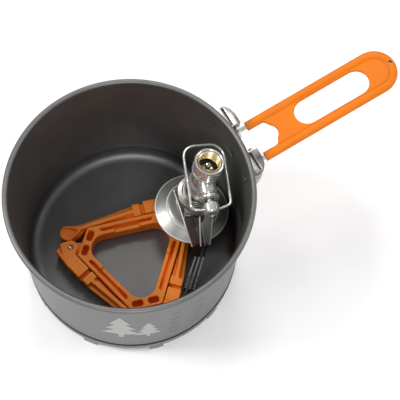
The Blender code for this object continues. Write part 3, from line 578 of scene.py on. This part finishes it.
def bracket():
    """The curved plate and its two hollow knuckles, with softened edges."""
    plate_in = WALL_OUT + 0.3 * MM
    outline = arc((0.0, 0.0), PLATE_OUT, -22, 22, 40) + arc((0.0, 0.0), plate_in, 22, -22, 40)
    adds = []
    cuts = []
    for side in (1, -1):
        knuckle = [(61.0, 8.3), (70.6, 8.3), (70.9, 9.0), (70.9, 14.5), (69.8, 18.5), (67.6, 21.2),
                   (64.5, 22.6), (61.0, 22.6)]
        shape = soft([(x * MM, side * y * MM) for x, y in knuckle], 0.6 * MM, 3, closed=True)
        adds.append(prism(shape, 71.9 * MM, 84.0 * MM))
        pocket = [(64.3, 7.0), (69.6, 7.0), (69.6, 14.2), (68.6, 17.9), (66.4, 20.2), (64.3, 21.5)]
        shape = [(x * MM, side * y * MM) for x, y in pocket]
        cuts.append(prism(shape, 72.9 * MM, 78.9 * MM))
        cuts.append(bar(HINGE + Vector((0, side * 7 * MM, 0)), HINGE + Vector((0, side * 18.2 * MM, 0)),
                        1.55 * MM, 24))
        near, far = sorted((side * 9.2 * MM, side * 20.6 * MM))
        cuts.append(box((65.3 * MM, near, 81.8 * MM), (66.7 * MM, far, 85 * MM)))
        for stripe in range(3):
            low = (10.6 + 2.0 * stripe) * MM
            near, far = sorted((side * low, side * (low + 0.7 * MM)))
            cuts.append(box((70.6 * MM, near, 75.2 * MM), (71.5 * MM, far, 77.4 * MM)))
    cuts.append(lathe([(0.0, 60 * MM), (plate_in, 60 * MM), (plate_in, 95 * MM), (0.0, 95 * MM)], 240))
    cuts += rivet_holes(60, 65)
    body = build("handle_bracket_fine", prism(outline, 68 * MM, 84 * MM), adds=adds, cuts=cuts,
                 bevel=0.3 * MM)
    dress(body, "pot", CAST, "stainless_steel", "handle_bracket")


# ---------------------------------------------------------------- handle

def handle_frame():
    foot = HINGE + Vector((math.sin(HANDLE_RISE), 0.0, -math.cos(HANDLE_RISE))) * CRANK
    return Matrix.Translation(foot) @ Matrix.Rotation(-HANDLE_RISE, 4, "Y")


def handle_path(start, steps=40):
    path = [Vector((start, WIRE_HALF, 0.0))]
    path += [Vector((x, y, 0.0)) for x, y in arc((SLEEVE_TIP, 0.0), WIRE_HALF, 90, -90, steps)]
    return path + [Vector((start, -WIRE_HALF, 0.0))]


def handle():
    place = handle_frame()
    inverse = place.inverted()
    loop = handle_path(SLEEVE_START)
    ends = []
    for side in (1, -1):
        pin = inverse @ (HINGE + Vector((0, side * PIN_END, 0)))
        shoulder = inverse @ (HINGE + Vector((0, side * ARM_HALF, 0)))
        ends.append([pin, shoulder, Vector((0.0, side * ARM_HALF, 0.0)),
                     Vector((SPREAD_END, side * WIRE_HALF, 0.0)), loop[0] if side > 0 else loop[-1]])
    first = rounded(ends[0], 1.9 * MM, 8)
    last = list(reversed(rounded(ends[1], 1.9 * MM, 8)))
    wire = build("handle_wire_fine", sweep(first[:-1] + loop + last[1:], WIRE_RADIUS, 20), place=place)
    dress(wire, "handle", SATIN, "stainless_steel", "handle_wire")

    notch = SLEEVE_START + 12 * MM
    web = [(notch - 5 * MM, WIRE_HALF), (notch - 1.6 * MM, 6.6 * MM)]
    web += arc((notch - 3.6 * MM, 0.0), 5.4 * MM, 52, -52, 12)
    web += [(notch - 1.6 * MM, -6.6 * MM), (notch - 5 * MM, -WIRE_HALF)]
    web += arc((SLEEVE_TIP, 0.0), WIRE_HALF, -90, 90, 32)
    slot = arc((SLEEVE_START + 33.3 * MM, 0.0), 7.3 * MM, 90, 270, 24)
    slot += arc((SLEEVE_START + 64.7 * MM, 0.0), 7.3 * MM, -90, 90, 24)
    tip = SLEEVE_TIP + WIRE_HALF
    sleeve = build("handle_sleeve_fine", sweep(handle_path(SLEEVE_START), RAIL_RADIUS, 24),
                   adds=[prism(web, -1.1 * MM, 1.1 * MM)],
                   cuts=[sweep(handle_path(SLEEVE_START - 3 * MM), 1.55 * MM, 16),
                         prism(slot, -4 * MM, 4 * MM),
                         bar((tip, 0, 0.5 * MM), (tip, 0, 5 * MM), 1.0 * MM, 16)],
                   voxel=0.38 * MM, melt=3, place=place)
    dress(sleeve, "handle", SILICONE, "orange_silicone", "handle_sleeve")


# ---------------------------------------------------------------- stabiliser

def corner_frame(index):
    return Matrix.Translation(HUB_CENTRE) @ Matrix.Rotation(HUB_TURN + math.tau * index / 3, 4, "Z")


def leg_frame(index):
    return corner_frame(index) @ Matrix.Translation(LEG_PIN) @ Matrix.Rotation(math.radians(150), 4, "Z")


def hub():
    """Triangular frame: outer rail, groove, inner wall, two pockets at each cut-off corner."""
    half_cut = (2 * HUB_SIDE - HUB_CORNER) * math.tan(math.radians(30))
    outer = []
    opening = []
    adds = []
    cuts = []
    for index in range(3):
        turn = Matrix.Rotation(math.tau * index / 3, 2)
        outer += [tuple(turn @ Vector((HUB_CORNER, side * half_cut))) for side in (-1, 1)]
        middle = HUB_OPEN * 2 - 2 * 9.0 * MM
        opening += [tuple(turn @ Vector(point)) for point in arc((middle, 0.0), 9.0 * MM, -60, 60, 16)]
    for index in range(3):
        turn = Matrix.Rotation(math.tau * index / 3, 4, "Z")
        lug = [(HUB_CORNER - 1 * MM, LEG_PIN.y - 5.5 * MM), (HUB_CORNER + 1 * MM, LEG_PIN.y - 5.5 * MM)]
        lug += arc(LEG_PIN, 3.9 * MM, -75, 90, 20) + [(HUB_CORNER - 1 * MM, LEG_PIN.y + 3.0 * MM)]
        adds.append(moved(prism(lug, LUG_LOW, LUG_HIGH), turn))
        pin_hole = bar((LEG_PIN.x, LEG_PIN.y, 0), (LEG_PIN.x, LEG_PIN.y, 15 * MM), 1.5 * MM, 20)
        cuts.append(moved(pin_hole, turn))
        for side in (-1, 1):
            middle = side * 4.75 * MM
            pocket = soft([(26.9 * MM, middle - 3.3 * MM), (30.6 * MM, middle - 3.1 * MM),
                           (30.6 * MM, middle + 3.1 * MM), (26.9 * MM, middle + 3.3 * MM)],
                          1.3 * MM, 5, closed=True)
            cuts.append(moved(prism(pocket, HUB_LOW + 3.0 * MM, HUB_HIGH + MM), turn))
        away = turn @ Matrix.Rotation(math.radians(60), 4, "Z")
        groove = [(19.7 * MM, -15 * MM), (21.7 * MM, -17 * MM), (21.7 * MM, 17 * MM), (19.7 * MM, 15 * MM)]
        groove = soft(groove, 0.6 * MM, 3, closed=True)
        cuts.append(moved(prism(groove, HUB_HIGH - 4.5 * MM, HUB_HIGH + MM), away))
        cuts.append(moved(box((22.9 * MM, -15 * MM, LUG_LOW), (25 * MM, 15 * MM, LUG_HIGH)), away))
        lowered = [(16.0 * MM, -8.5 * MM), (19.9 * MM, -7.0 * MM), (19.9 * MM, 7.0 * MM),
                   (16.0 * MM, 8.5 * MM)]
        cuts.append(moved(prism(lowered, HUB_HIGH - 1.8 * MM, HUB_HIGH + MM), away))
    cuts.append(prism(opening, HUB_LOW - MM, HUB_HIGH + MM))
    body = build("stabiliser_hub_fine", prism(soft(outer, 1.2 * MM, 5, closed=True), HUB_LOW, HUB_HIGH),
                 adds=adds, cuts=cuts, voxel=0.34 * MM, melt=3, place=corner_frame(0))
    dress(body, "stabiliser", NYLON, "orange_nylon", "stabiliser_hub")


def leg(index, name):
    """Forked head, two steps for canister rims, beam with a rib, dished teardrop foot."""
    head = arc((0.0, 0.0), 4.4 * MM, 15, 175, 20)
    head += [(-5.8 * MM, -2.3 * MM), (-3.8 * MM, -7.9 * MM), (9.0 * MM, -9.2 * MM), (9.0 * MM, -0.8 * MM),
             (5.0 * MM, -0.8 * MM)]
    beam = [(8.0 * MM, -0.8 * MM), (8.0 * MM, -9.2 * MM), (24 * MM, -8.6 * MM), (55 * MM, -4.4 * MM),
            (64 * MM, -4.2 * MM), (64 * MM, 4.2 * MM), (58 * MM, 2.4 * MM), (54 * MM, -0.8 * MM)]
    rib = [(20 * MM, -6.1 * MM), (62 * MM, -1.9 * MM), (62 * MM, 0.3 * MM), (20 * MM, -3.7 * MM)]
    foot = arc((LEG_LENGTH, 0.0), 4.6 * MM, -125, 125, 24) + [(57.3 * MM, 0.7 * MM), (56.7 * MM, -3.3 * MM)]
    dish = arc((LEG_LENGTH, 0.0), 3.4 * MM, -110, 110, 18) + [(59.5 * MM, 0.6 * MM), (59.5 * MM, -0.9 * MM)]
    adds = [prism(beam, LEG_LOW, LEG_WEB), prism(rib, LEG_LOW + 0.5 * MM, HUB_HIGH - 0.3 * MM),
            prism(foot, LEG_LOW - 0.4 * MM, HUB_HIGH - 0.6 * MM),
            box((9.4 * MM, -9.0 * MM, LEG_LOW - MM), (17.2 * MM, -1.0 * MM, HUB_HIGH + 0.4 * MM)),
            box((19.4 * MM, -8.5 * MM, LEG_LOW - MM), (24.2 * MM, -0.9 * MM, HUB_HIGH - 0.2 * MM))]
    fork = [(-8 * MM, -6.4 * MM), (7.6 * MM, -6.4 * MM), (7.6 * MM, 7 * MM), (-8 * MM, 7 * MM)]
    groove = [(-6.4 * MM, -4.6 * MM), (-1.0 * MM, -7.1 * MM), (-0.6 * MM, -6.0 * MM),
              (-6.0 * MM, -3.5 * MM)]
    notch = [(17.2 * MM, -9.5 * MM), (19.4 * MM, -9.5 * MM), (19.4 * MM, 0.0), (17.2 * MM, 0.0)]
    cuts = [prism(fork, LUG_LOW - 0.3 * MM, LUG_HIGH + 0.3 * MM),
            bar((0, 0, 0), (0, 0, 15 * MM), 1.5 * MM, 20),
            prism(groove, HUB_HIGH - 1.6 * MM, HUB_HIGH + MM),
            prism(notch, LEG_WEB - 0.6 * MM, HUB_HIGH + MM),
            prism(dish, HUB_HIGH - 2.2 * MM, HUB_HIGH + MM)]
    body = build(f"stabiliser_leg_{name}_fine", prism(head, HUB_LOW, HUB_HIGH), adds=adds, cuts=cuts,
                 voxel=0.34 * MM, melt=3, place=leg_frame(index))
    dress(body, f"leg_{name}", NYLON, "orange_nylon", f"stabiliser_leg_{name}")
    low = HUB_LOW / MM + 0.4
    high = HUB_HIGH / MM + 0.3
    profile = [(0.0, low), (1.2, low), (1.2, high - 0.35), (1.05, high - 0.1), (0.85, high),
               (0.6, high - 0.15), (0.45, high - 0.9), (0.0, high - 1.0)]
    pin = build(f"leg_pin_{name}_fine", turned(profile, 40), place=leg_frame(index))
    dress(pin, "stabiliser", POLISHED, "stainless_steel", f"leg_pin_{name}")


# ---------------------------------------------------------------- burner

def burner_frame():
    towards = Matrix.Rotation(BURNER_LEAN_TO, 4, "Z")
    lean = towards @ Matrix.Rotation(BURNER_LEAN, 4, "Y") @ towards.inverted()
    return Matrix.Translation(BURNER_SEAT) @ lean @ Matrix.Rotation(BURNER_TURN, 4, "Z")


BURNER = burner_frame()


def burner_piece(node, shape, finish, slot="stainless_steel", body="burner", **work):
    """A fine piece for one CAD node, in the burner's own frame."""
    piece = build(f"{node}_fine", shape, place=BURNER, **work)
    return dress(piece, body, finish, slot, node)


def pivot_bar(start, end, radius, sides):
    """A bar along the supports' pivot line, between two places in millimetres."""
    return bar((start * MM, PIVOT_Y, PIVOT_HEIGHT), (end * MM, PIVOT_Y, PIVOT_HEIGHT), radius, sides)


def burner_head():
    lip = arc((21.45, 5.75), 0.95, -150, 60, 16)
    outside = lip + [(21.3, 6.95), (19.0, 8.35), (16.6, 9.65), (16.1, 10.15), (15.7, 10.4),
                     (15.2, 10.5), (14.7, 10.75), (13.5, 12.0), (12.4, 13.6), (11.6, 15.0),
                     (10.9, 15.9), (9.5, 16.2), (7.5, 16.4)]
    inside = [(7.5, 15.5), (10.3, 15.1), (10.8, 14.4), (11.8, 12.9), (12.9, 11.6), (15.2, 9.7), (18.2, 8.1),
              (20.3, 6.4)]
    burner_piece("burner_head", turned(outside + inside, 144, closed=True), BRUSHED)
    # painted highlights: thin near-white rings laid over the lip and the ridge of the head
    for name, middle, radius in (("lip", (21.6, 5.95), 0.78), ("ridge", (15.6, 10.2), 0.42)):
        highlight_ring = build(f"burner_head_{name}_bead", turned(arc(middle, radius, 0, 345, 23), 144, closed=True),
                     place=BURNER)
        dress(highlight_ring, "burner", HIGHLIGHT_STEEL, "stainless_steel")
    disc = [(0.0, -0.6), (6.0, -0.3), (8.0, 0.7), (9.8, 2.0), (10.7, 3.6), (10.9, 4.6), (10.6, 4.8),
            (10.1, 4.3), (9.2, 3.1), (7.6, 1.8), (5.6, 0.9), (0.0, 0.7)]
    slots = []
    for step in range(18):
        angle = math.tau * step / 18
        out = Vector((math.cos(angle), math.sin(angle), 0.0))
        foot = out * 8.9 * MM
        slots.append(bar(foot + Vector((0, 0, -2 * MM)), foot + Vector((0, 0, 6 * MM)), 0.6 * MM, 10))
    burner_piece("flame_disc", turned(disc, 72), SATIN, cuts=slots)


def tube_and_collar():
    holes = []
    for angle in (35, 125):
        reach = Vector((math.cos(math.radians(angle)), math.sin(math.radians(angle)), 0)) * 9 * MM
        height = Vector((0, 0, 33.0 * MM))
        holes.append(bar(height - reach, height + reach, 1.7 * MM, 24))
    tube = [(7.0, 2.2), (7.0, 35.7), (6.8, 36.0), (6.1, 36.0), (6.1, 2.2)]
    burner_piece("mixing_tube", turned(tube, 72, closed=True), POLISHED, cuts=holes)
    ring = soft([(7.3, 27.0), (12.0, 27.0), (12.0, 29.8), (9.3, 29.9), (9.2, 31.8), (7.3, 31.8)],
                0.35, 3, closed=True)
    apron = [(-9.3 * MM, -7.6 * MM)] + arc((0.0, 0.0), 14.2 * MM, -131, -49, 24) + [(9.3 * MM, -7.6 * MM)]
    adds = [prism(apron, 27.0 * MM, 28.2 * MM)]
    for centre, half in SUPPORT_EYES.values():
        for side in (-1, 1):
            near = centre + side * (half + 0.3)
            low, high = sorted((near, near + side * 0.8))
            adds.append(box((low * MM, -12.9 * MM, 22.8 * MM), (high * MM, -9.7 * MM, 27.6 * MM)))
    hole = pivot_bar(-12, 12, PIVOT_HOLE, 16)
    burner_piece("support_collar", turned(ring, 72, closed=True), CAST, adds=adds, cuts=[hole])
    for name, (centre, half) in SUPPORT_EYES.items():
        reach = half + PIN_OVERHANG
        pin = pivot_bar(centre - reach, centre + reach, 0.7 * MM, 24)
        burner_piece(f"support_pin_{name}", pin, POLISHED, bevel=0.1 * MM)


def aimed(shape, start):
    """Lay a turned shape along the valve's stem, its foot at the given Y."""
    aim = Matrix.Translation((0, start * MM, STEM_HEIGHT)) @ Matrix.Rotation(math.radians(90), 4, "X")
    return moved(shape, aim)


def valve():
    body = soft([(0.0, 36.4), (7.4, 36.4), (7.8, 36.9), (7.8, 44.4), (6.6, 45.9), (6.6, 55.9),
                 (6.0, 56.7), (0.0, 56.7)], 0.25, 3)
    boss = [(0.0, 2.0), (5.2, 2.0), (5.2, 11.6), (4.7, 11.9), (4.7, 12.2), (5.0, 12.4), (4.8, 12.6),
            (0.0, 12.6)]
    bore = bar((0, -4 * MM, STEM_HEIGHT), (0, -14 * MM, STEM_HEIGHT), 2.3 * MM, 32)
    jet_bore = bar((0, 0, 35 * MM), (0, 0, 41.3 * MM), 1.8 * MM, 24)
    burner_piece("valve_body", turned(body, 80), BRIGHT, adds=[aimed(turned(boss, 72), 0.0)],
                 cuts=[bore, jet_bore], bevel=0.12 * MM)
    jet = [(0.0, 31.2), (0.9, 31.2), (1.5, 32.2), (1.5, 33.0), (3.0, 33.2), (3.0, 35.8), (1.5, 36.0),
           (1.5, 41.0), (0.0, 41.0)]
    burner_piece("gas_jet", turned(jet, 6), BRASS, "brass")
    nut = soft([(2.4, 0.0), (5.2, 0.0), (5.7, 0.6), (5.7, 1.6), (5.2, 2.2), (2.4, 2.2)], 0.2, 3, closed=True)
    burner_piece("gland_nut", aimed(turned(nut, 64, closed=True), -12.9), BRIGHT)
    spindle = [(0.0, 0.0), (1.1, 1.6), (2.0, 2.4), (2.0, 12.9), (0.0, 12.9)]
    burner_piece("valve_spindle", aimed(turned(spindle, 40), -4.3), SATIN, body="valve")
    knob = [(0.0, 0.0), (3.9, 0.0), (4.4, 0.5), (4.4, 4.9), (4.0, 5.6), (3.5, 6.0), (3.1, 6.0),
            (2.9, 5.75), (0.0, 5.75)]
    dimples = []
    for step in range(8):
        angle = math.tau * (step + 0.5) / 8
        groove = bar((4.9 * math.cos(angle) * MM, 4.9 * math.sin(angle) * MM, 1.2 * MM),
                     (4.9 * math.cos(angle) * MM, 4.9 * math.sin(angle) * MM, 4.6 * MM), 0.8 * MM, 16)
        if abs(math.cos(angle)) < 0.9:
            dimples.append(aimed(groove, KNOB_START))
    hole = bar((-6 * MM, -20.6 * MM, STEM_HEIGHT), (6 * MM, -20.6 * MM, STEM_HEIGHT), 1.1 * MM, 24)
    burner_piece("valve_knob", aimed(turned(knob, 64), KNOB_START), BRIGHT, body="valve",
                 cuts=[hole] + dimples)


def control_loop():
    route = [(-1.5, -20.6, 0.0), (-5.4, -20.6, 0.0), (-10.9, -19.6, 0.0), (-9.6, 17.8, 1.2),
             (13.5, 17.8, 1.2), (11.5, -18.7, 0.0), (5.4, -20.6, 0.0), (1.5, -20.6, 0.0)]
    bends = [0.0, 1.5 * MM, 3.2 * MM, 7.0 * MM, 7.6 * MM, 3.4 * MM, 1.5 * MM, 0.0]
    points = [Vector((x * MM, y * MM, STEM_HEIGHT + z * MM)) for x, y, z in route]
    burner_piece("control_loop", sweep(rounded(points, bends, 14), 0.8 * MM, 16), BRIGHT,
                 body="control_loop")


def socket():
    """Cup with a brass thread, a seal at its bottom and the pin that opens the canister."""
    cup = [(0.0, 57.0), (6.4, 57.0), (8.0, 57.7), (8.2, 58.1), (8.2, 59.6), (8.0, 59.8), (8.0, 60.2),
           (8.2, 60.4), (8.2, 67.1), (8.1, 67.7), (7.8, 68.15), (7.4, 68.3), (7.0, 68.2), (6.7, 67.9),
           (6.5, 67.4), (6.5, 58.4), (0.0, 58.4)]
    burner_piece("canister_socket", turned(cup, 96), BRIGHT)
    thread = [(6.2, 60.4), (6.2, 67.75)]
    turns = 8
    for step in range(turns):
        top = 67.75 - step * 0.9
        thread += [(5.85, top - 0.1), (5.55, top - 0.4), (5.55, top - 0.5), (5.85, top - 0.8)]
    thread += [(5.7, 60.4)]
    burner_piece("thread_liner", turned(thread, 80, closed=True), BRASS, "brass")
    seal = soft([(6.0, 58.8), (6.0, 59.9), (5.1, 60.1), (4.0, 59.8), (4.0, 58.8)], 0.25, 3, closed=True)
    burner_piece("socket_seal", turned(seal, 64, closed=True), SEAL, "black_rubber")
    pin = [(0.0, 58.7), (3.0, 58.7), (3.0, 60.5), (2.7, 60.9), (2.4, 61.0), (1.9, 61.1), (1.5, 61.4),
           (1.4, 64.0), (1.25, 64.4), (1.0, 64.5), (0.6, 64.5), (0.45, 64.3), (0.45, 62.5), (0.0, 62.5)]
    burner_piece("valve_depressor", turned(pin, 48), POLISHED)


SUPPORTS = {
    # name: (arm's corners from its pivot to its tip, blade start, blade bend, blade tip), in mm
    "left": (((-12.4, 5.0, 24.4), (-4.4, -11.3, 24.4), (-1.6, -24.8, 8.8), (-4.2, -24.4, 7.0)),
             (-2.8, -24.3, 6.9), (-2.2, -29.0, -0.6), (-10.4, -45.6, -8.2)),
    "middle": (((-0.7, -10.0, 23.4), (-0.7, -12.6, 25.4), (0.5, -25.5, 9.0), (0.5, -22.9, 7.0)),
               (0.6, -24.3, 6.9), (0.2, -29.3, -0.9), (-8.0, -46.6, -8.4)),
    "right": (((2.4, -11.3, 24.4), (7.6, -11.3, 24.4), (6.4, -24.4, 7.6), (3.4, -24.6, 7.0),
               (1.0, -15.0, 19.6), (2.4, -13.4, 21.7)),
              (4.4, -24.5, 6.9), (2.6, -29.6, -1.2), (-5.6, -47.4, -8.6)),
}
HIGHLIGHT_EDGES = {
    # pairs of arm corners that a painted highlight strip runs between
    "left": ((0, 3),), "middle": ((1, 2),), "right": ((4, 3), (1, 2)),
}
BLADE_HALF = 2.4 * MM
TEETH = 5


def blade_outline(start, end, toothed):
    """Lower edge, then the upper edge back, with teeth along its far half."""
    drop = Vector((0.0, 0.0, BLADE_HALF))
    outline = [start - drop, end - drop, end + drop * 0.4]
    if toothed:
        for tooth in range(TEETH):
            for part, depth in ((0.0, 1.0), (0.5, 0.72)):
                share = 0.96 - (tooth + part) * 0.09
                outline.append(start.lerp(end, share) + drop * depth)
    return outline + [start + drop]


def supports():
    for name, (arm, start, bend, tip) in SUPPORTS.items():
        start, bend, tip = (Vector(point) * MM for point in (start, bend, tip))
        centre, half = SUPPORT_EYES[name]
        eye = pivot_bar(centre - half, centre + half, 1.6 * MM, 32)
        hole = pivot_bar(centre - half - 1, centre + half + 1, PIVOT_HOLE, 24)
        plate = slab([Vector(corner) * MM for corner in arm], SHEET_THICKNESS)
        arm_piece = build(f"support_arm_{name}", plate, adds=[eye], cuts=[hole], bevel=0.12 * MM,
                          place=BURNER)
        # painted light and shade: the right arm gets the lit copy of the sheet steel, the others the shaded
        # copy
        dress(arm_piece, f"support_{name}", LIT_SHEET if name == "right" else SHADED_SHEET, "stainless_steel",
              f"pot_support_{name}")
        # painted highlight: a near-white bar along one or two edges of each arm
        for number, (first, last) in enumerate(HIGHLIGHT_EDGES[name]):
            ends = [Vector(arm[corner]) * MM for corner in (first, last)]
            edge = build(f"support_edge_{name}_{number}", bar(*ends, 0.52 * MM, 16),
                         bevel=0.1 * MM, place=BURNER)
            dress(edge, f"support_{name}", HIGHLIGHT_STEEL, "stainless_steel")
        blade = build(f"support_blade_{name}", slab(blade_outline(start, bend, False), SHEET_THICKNESS),
                      adds=[slab(blade_outline(bend, tip, True), 0.86 * MM)], bevel=0.12 * MM, place=BURNER)
        dress(blade, f"support_{name}", BLACKED, "stainless_steel")


# ---------------------------------------------------------------- floor, light, camera

def stage():
    bpy.ops.mesh.primitive_plane_add(size=6.0, location=(0.0, 0.0, GROUND - 0.0002))
    floor = bpy.context.object
    floor.name = "floor"
    paint = new_finish("floor_paint", 0.0)
    shader = paint.node_tree.nodes["Principled BSDF"]
    shader.inputs["Base Color"].default_value = (0.93, 0.93, 0.93, 1.0)
    shader.inputs["Roughness"].default_value = 0.8
    floor.data.materials.append(paint)


def area_light(name, place, aim, size, power):
    light = bpy.data.lights.new(name, "AREA")
    light.shape = "DISK"
    light.size = size
    light.energy = power
    lamp = bpy.data.objects.new(name, light)
    lamp.location = place
    lamp.rotation_euler = (Vector(aim) - Vector(place)).to_track_quat("-Z", "Y").to_euler()
    bpy.context.scene.collection.objects.link(lamp)


def lighting():
    world = bpy.data.worlds.new("studio")
    world.use_nodes = True
    world.node_tree.nodes["Background"].inputs["Color"].default_value = (1.0, 1.0, 1.0, 1.0)
    world.node_tree.nodes["Background"].inputs["Strength"].default_value = 0.45
    bpy.context.scene.world = world
    bpy.context.scene.view_settings.view_transform = "Standard"
    area_light("key", (-0.80, 0.45, 0.95), (0.0, 0.0, 0.03), 0.36, 8.5)
    area_light("back", (0.36, 0.66, 1.05), (0.0, 0.0, 0.03), 0.45, 5.0)
    area_light("front", (-0.35, -0.75, 0.9), (0.0, 0.0, 0.03), 0.35, 5.0)
    area_light("right", (0.85, -0.45, 0.7), (0.0, 0.0, 0.03), 0.40, 3.0)


def camera():
    lens = bpy.data.cameras.new("camera")
    lens.lens = CAMERA_LENS
    lens.sensor_width = 36.0
    eye = bpy.data.objects.new("camera", lens)
    aim = CAMERA_AIM.normalized()
    right = aim.cross(CAMERA_UP).normalized()
    up = right.cross(aim)
    turn = Matrix((right, up, -aim)).transposed().to_4x4()
    eye.matrix_world = Matrix.Translation(CAMERA_PLACE) @ turn
    bpy.context.scene.collection.objects.link(eye)
    bpy.context.scene.camera = eye


camera()
lighting()
stage()
pot_shell()
guard_ring()
wall_prints()
rivets()
bracket()
handle()
hub()
for number, letter in enumerate(("a", "b", "c")):
    leg(number, letter)
burner_head()
tube_and_collar()
valve()
control_loop()
socket()
supports()
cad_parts["heat_exchanger"].data.materials.clear()
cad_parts["heat_exchanger"].data.materials.append(BARE)
